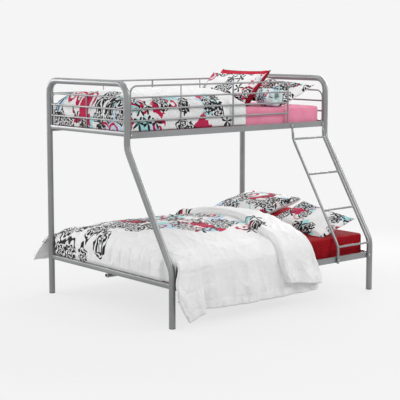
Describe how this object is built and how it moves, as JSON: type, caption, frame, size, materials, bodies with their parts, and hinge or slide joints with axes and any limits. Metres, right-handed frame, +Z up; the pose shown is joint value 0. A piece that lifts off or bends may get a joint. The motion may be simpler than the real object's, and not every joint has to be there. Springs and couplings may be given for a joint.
{
  "type": "bunk bed",
  "caption": "Silver tubular steel bunk bed, single over double, with ladder, guard rails, slats, mattresses, sheets, patterned duvets and pillows.",
  "frame": {"origin": "on the floor under the middle of the lower bunk, at the sole of the centre support foot", "axes": "+X along the bed towards the head end with the ladder, +Y from the open front towards the rear (wall) side, +Z up"},
  "size_m": [2.0403, 1.6188, 1.6806],
  "materials": {
    "silver_paint": "silver powder coat, satin, fine even texture",
    "bolt_steel": "zinc plated fasteners",
    "dark_plastic": "moulded dark plastic",
    "mattress_cover": "woven mattress ticking, off-white",
    "upper_sheet_cotton": "plain cotton, pink",
    "lower_sheet_cotton": "plain cotton, deep red",
    "upper_duvet_print": null,
    "lower_duvet_print": null,
    "pillow_print": null,
    "sham_print": null,
    "red_sham_cotton": "red cotton with dark piping",
    "bolster_print": "white cotton with aqua blots"
  },
  "bodies": {
    "root": {"beam_bolts": "bolt_steel", "beam_spacers": "bolt_steel", "centre_beam": "silver_paint", "centre_glide": "dark_plastic", "centre_leg": "silver_paint", "centre_leg_screws": "bolt_steel", "corner_bolts": "bolt_steel", "corner_glides": "dark_plastic", "foot_end_arch": "silver_paint", "foot_front_leg": "silver_paint", "foot_guard_hoop": "silver_paint", "foot_guard_rails": "silver_paint", "foot_guard_struts": "silver_paint", "foot_lower_end_rail": "silver_paint", "foot_rear_post": "silver_paint", "foot_upper_end_rail": "silver_paint", "front_guard_hoop": "silver_paint", "front_guard_rails": "silver_paint", "front_guard_strut": "silver_paint", "front_guard_upright": "silver_paint", "head_end_arch": "silver_paint", "head_front_leg": "silver_paint", "head_guard_hoop": "silver_paint", "head_guard_rails": "silver_paint", "head_guard_struts": "silver_paint", "head_lower_end_rail": "silver_paint", "head_rear_post": "silver_paint", "head_upper_end_rail": "silver_paint", "ladder_bolts": "bolt_steel", "ladder_end_caps": "dark_plastic", "ladder_left_stile": "silver_paint", "ladder_right_stile": "silver_paint", "ladder_rungs": "silver_paint", "lower_corner_brackets": "silver_paint", "lower_duvet": "lower_duvet_print", "lower_fitted_sheet": "lower_sheet_cotton", "lower_front_sham": "sham_print", "lower_front_side_rail": "silver_paint", "lower_mattress": "mattress_cover", "lower_rear_pillow": "pillow_print", "lower_rear_side_rail": "silver_paint", "lower_slats": "silver_paint", "lower_under_pillow": "red_sham_cotton", "rear_guard_hoop": "silver_paint", "rear_guard_rails": "silver_paint", "rear_guard_struts": "silver_paint", "rear_guard_upright": "silver_paint", "upper_back_sham": "red_sham_cotton", "upper_bolster": "bolster_print", "upper_corner_brackets": "silver_paint", "upper_duvet": "upper_duvet_print", "upper_fitted_sheet": "upper_sheet_cotton", "upper_front_side_rail": "silver_paint", "upper_head_pillow": "pillow_print", "upper_mattress": "mattress_cover", "upper_print_sham": "sham_print", "upper_rear_side_rail": "silver_paint", "upper_slats": "silver_paint"}
  },
  "joints": []
}
